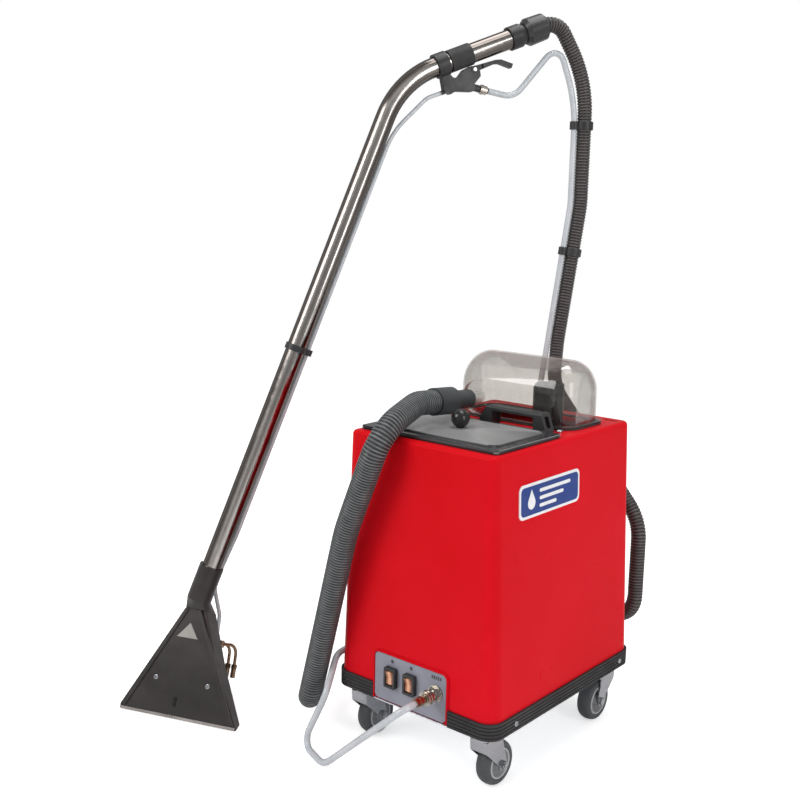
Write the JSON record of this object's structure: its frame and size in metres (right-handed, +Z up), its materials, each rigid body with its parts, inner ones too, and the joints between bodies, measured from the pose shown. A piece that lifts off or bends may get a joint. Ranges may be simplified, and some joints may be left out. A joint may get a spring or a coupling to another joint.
{
  "type": "spot extractor",
  "caption": "Wheeled box-shaped carpet spot extractor with clear recovery dome, ribbed suction hose and bent steel floor wand.",
  "frame": {"origin": "on the floor under the middle of the machine body", "axes": "+Z up, the control panel faces -Y, the badge side faces +X"},
  "size_m": [0.7488, 0.8401, 1.3557],
  "materials": {
    "body_red": "rotomoulded, satin",
    "strip_black": "ribbed",
    "galvanised": "galvanised sheet",
    "zinc": "zinc plated",
    "panel_grey": "satin paint",
    "switch_black": "moulded",
    "nickel": "nickel plated",
    "brass": "turned",
    "badge_blue": "printed, blank",
    "handle_black": "moulded",
    "standpipe_dark": "moulded",
    "rubber_black": "moulded",
    "motor_grey": "cast",
    "pump_black": "painted",
    "strainer_white": "moulded",
    "pipe_clear": "flexible",
    "inlet_black": "moulded",
    "caster_zinc": "zinc plated",
    "hose_grey": "ribbed",
    "cuff_grey": "moulded",
    "thin_hose_black": "ribbed",
    "tube_clear": "translucent",
    "clip_black": "moulded",
    "rocker_amber": "lit",
    "float_white": "hollow",
    "fan_metal": "pressed",
    "dome_clear": "clear acrylic",
    "seal_black": "foam",
    "lid_smoke": "smoked",
    "knob_black": "polished",
    "tool_black": "moulded",
    "lip_steel": "worn",
    "wand_steel": "polished stainless",
    "grip_black": "moulded",
    "valve_black": "moulded",
    "cuff_black": "moulded",
    "lever_black": "moulded",
    "wheel_grey": "grey tyre on nylon hub"
  },
  "bodies": {
    "chassis": {"body_shell": "body_red", "bumper_strip": "strip_black", "base_plate": "galvanised", "body_fasteners": "zinc", "control_panel": "panel_grey", "switch_frames": "switch_black", "coupling_socket": "nickel", "hose_plug": "brass", "badge_plate": "badge_blue", "carry_handle": "handle_black", "standpipe": "standpipe_dark", "suction_sleeve": "rubber_black", "vacuum_motor": "motor_grey", "water_pump": "pump_black", "tank_strainer": "strainer_white", "pump_outlet_pipe": "pipe_clear", "power_inlet": "inlet_black", "caster_plates": "caster_zinc", "vacuum_hose": "hose_grey", "hose_reducer": "cuff_grey", "rear_hose": "thin_hose_black", "solution_hose": "tube_clear", "lower_hose_clip": "clip_black"},
    "pump_switch": {"pump_rocker": "rocker_amber"},
    "vacuum_switch": {"vacuum_rocker": "rocker_amber"},
    "panel_sleeve": {"coupling_sleeve": "nickel"},
    "float": {"float_ball": "float_white"},
    "fan": {"fan_rotor": "fan_metal"},
    "dome": {"recovery_dome": "dome_clear", "dome_seal": "seal_black", "dome_cuff": "cuff_grey", "dome_hose": "hose_grey"},
    "lid": {"fresh_tank_lid": "lid_smoke", "lid_seal": "seal_black", "ball_knob": "knob_black"},
    "wand": {"tool_head": "tool_black", "tool_front_plate": "tool_black", "tool_lip": "lip_steel", "tool_screws": "zinc", "spray_jets": "brass", "wand_tube": "wand_steel", "wand_clamps": "clip_black", "grip_sleeve": "grip_black", "valve_body": "valve_black", "lever_pin": "zinc", "wand_spray_tube": "tube_clear", "wand_cuff": "cuff_black", "wand_hose": "thin_hose_black", "wand_solution_hose": "tube_clear", "upper_hose_clip": "clip_black"},
    "trigger": {"trigger_lever": "lever_black"},
    "valve_sleeve": {"valve_coupling_sleeve": "nickel"},
    "swivel_front_left": {"caster_fork_front_left": "caster_zinc"},
    "wheel_front_left": {"caster_wheel_front_left": "wheel_grey"},
    "swivel_front_right": {"caster_fork_front_right": "caster_zinc"},
    "wheel_front_right": {"caster_wheel_front_right": "wheel_grey"},
    "swivel_rear_left": {"caster_fork_rear_left": "caster_zinc"},
    "wheel_rear_left": {"caster_wheel_rear_left": "wheel_grey"},
    "swivel_rear_right": {"caster_fork_rear_right": "caster_zinc"},
    "wheel_rear_right": {"caster_wheel_rear_right": "wheel_grey"}
  },
  "joints": [
    {"name": "swivel_front_left", "type": "hinge", "parent": "chassis", "child": "swivel_front_left", "pos_m": [-0.137, -0.191, 0.098], "axis": [0, 0, 1], "continuous": true},
    {"name": "roll_front_left", "type": "hinge", "parent": "swivel_front_left", "child": "wheel_front_left", "pos_m": [-0.137, -0.164, 0.04], "axis": [1, 0, 0], "continuous": true},
    {"name": "swivel_front_right", "type": "hinge", "parent": "chassis", "child": "swivel_front_right", "pos_m": [0.137, -0.191, 0.098], "axis": [0, 0, 1], "continuous": true},
    {"name": "roll_front_right", "type": "hinge", "parent": "swivel_front_right", "child": "wheel_front_right", "pos_m": [0.137, -0.164, 0.04], "axis": [1, 0, 0], "continuous": true},
    {"name": "swivel_rear_left", "type": "hinge", "parent": "chassis", "child": "swivel_rear_left", "pos_m": [-0.137, 0.191, 0.098], "axis": [0, 0, 1], "continuous": true},
    {"name": "roll_rear_left", "type": "hinge", "parent": "swivel_rear_left", "child": "wheel_rear_left", "pos_m": [-0.137, 0.218, 0.04], "axis": [1, 0, 0], "continuous": true},
    {"name": "swivel_rear_right", "type": "hinge", "parent": "chassis", "child": "swivel_rear_right", "pos_m": [0.137, 0.191, 0.098], "axis": [0, 0, 1], "continuous": true},
    {"name": "roll_rear_right", "type": "hinge", "parent": "swivel_rear_right", "child": "wheel_rear_right", "pos_m": [0.137, 0.164, 0.04], "axis": [1, 0, 0], "continuous": true},
    {"name": "pump_rocker_tilt", "type": "hinge", "parent": "chassis", "child": "pump_switch", "pos_m": [-0.04, -0.233, 0.162], "axis": [1, 0, 0], "range_deg": [0, 11]},
    {"name": "vacuum_rocker_tilt", "type": "hinge", "parent": "chassis", "child": "vacuum_switch", "pos_m": [0.003, -0.233, 0.162], "axis": [1, 0, 0], "range_deg": [0, 11]},
    {"name": "panel_sleeve_retract", "type": "slide", "parent": "chassis", "child": "panel_sleeve", "axis": [0, 1, 0], "range_m": [0, 0.004]},
    {"name": "float_rise", "type": "slide", "parent": "chassis", "child": "float", "axis": [0, 0, 1], "range_m": [0, 0.017]},
    {"name": "fan_spin", "type": "hinge", "parent": "chassis", "child": "fan", "pos_m": [0.052, 0.112, 0.2], "axis": [0, 0, 1], "continuous": true},
    {"name": "dome_lift", "type": "slide", "parent": "chassis", "child": "dome", "axis": [0, 0, 1], "range_m": [0, 0.04]},
    {"name": "lid_lift", "type": "slide", "parent": "chassis", "child": "lid", "axis": [0, 0, 1], "range_m": [0, 0.0035]},
    {"name": "wand_lift", "type": "slide", "parent": "chassis", "child": "wand", "axis": [0, 0, 1], "range_m": [0, 0.08]},
    {"name": "trigger_squeeze", "type": "hinge", "parent": "wand", "child": "trigger", "pos_m": [-0.20375, 0.1683, 1.24104], "axis": [0.8686, -0.4955, 0], "range_deg": [0, 7]},
    {"name": "valve_sleeve_retract", "type": "slide", "parent": "wand", "child": "valve_sleeve", "axis": [-0.4879, -0.8554, 0.174], "range_m": [0, 0.0025]}
  ]
}
